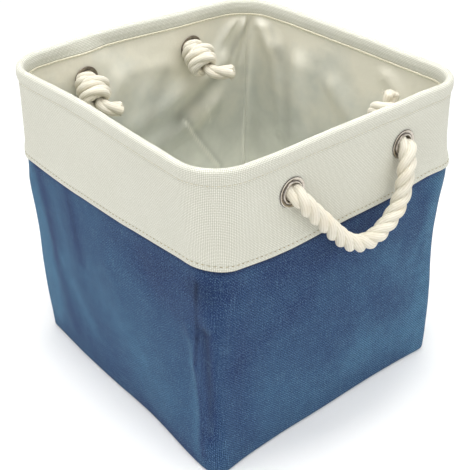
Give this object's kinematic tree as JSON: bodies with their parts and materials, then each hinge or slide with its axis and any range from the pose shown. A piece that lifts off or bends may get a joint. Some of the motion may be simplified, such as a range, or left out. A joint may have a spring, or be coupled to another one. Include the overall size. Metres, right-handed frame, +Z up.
{
  "type": "fabric storage bin",
  "caption": "Open-topped square storage bin of blue cloth with a cream canvas band, a wire-stiffened rim, a coated lining and knotted rope handles on two sides.",
  "frame": {"origin": "middle of the underside, on the floor", "axes": "+Z up, +X out of the right handle wall, -Y out of the front wall"},
  "size_m": [0.3524, 0.3058, 0.305],
  "materials": {
    "cream_canvas": "heavy plain-weave cotton canvas, matt",
    "blue_linen": "linen-look polyester weave, matt, slightly mottled",
    "coated_lining": "fine lining cloth with a satin coating",
    "cotton_rope": "soft three-strand twisted cotton, matt",
    "nickel": "bright nickel plating",
    "dark_nickel": "dull nickel plating",
    "rim_steel": "drawn steel wire",
    "grey_board": "pressed board"
  },
  "bodies": {
    "bin": {"top_band": "cream_canvas", "rim_wire": "rim_steel", "rim_ferrule": "rim_steel", "outer_wall": "blue_linen", "outer_base": "blue_linen", "board_front": "grey_board", "board_back": "grey_board", "board_left": "grey_board", "board_right": "grey_board", "base_board": "grey_board", "lining_wall": "coated_lining", "lining_base": "coated_lining", "eyelet_right_front": "nickel", "washer_right_front": "dark_nickel", "knot_right_front": "cotton_rope", "eyelet_right_back": "nickel", "washer_right_back": "dark_nickel", "knot_right_back": "cotton_rope", "eyelet_left_front": "nickel", "washer_left_front": "dark_nickel", "knot_left_front": "cotton_rope", "eyelet_left_back": "nickel", "washer_left_back": "dark_nickel", "knot_left_back": "cotton_rope"},
    "right_loop": {"handle_right": "cotton_rope"},
    "left_loop": {"handle_left": "cotton_rope"}
  },
  "joints": [
    {"name": "right_handle_swing", "type": "hinge", "parent": "bin", "child": "right_loop", "pos_m": [0.16254, 0, 0.264], "axis": [0, -1, 0], "range_deg": [0, 170]},
    {"name": "left_handle_swing", "type": "hinge", "parent": "bin", "child": "left_loop", "pos_m": [-0.16254, 0, 0.264], "axis": [0, 1, 0], "range_deg": [0, 170]}
  ]
}
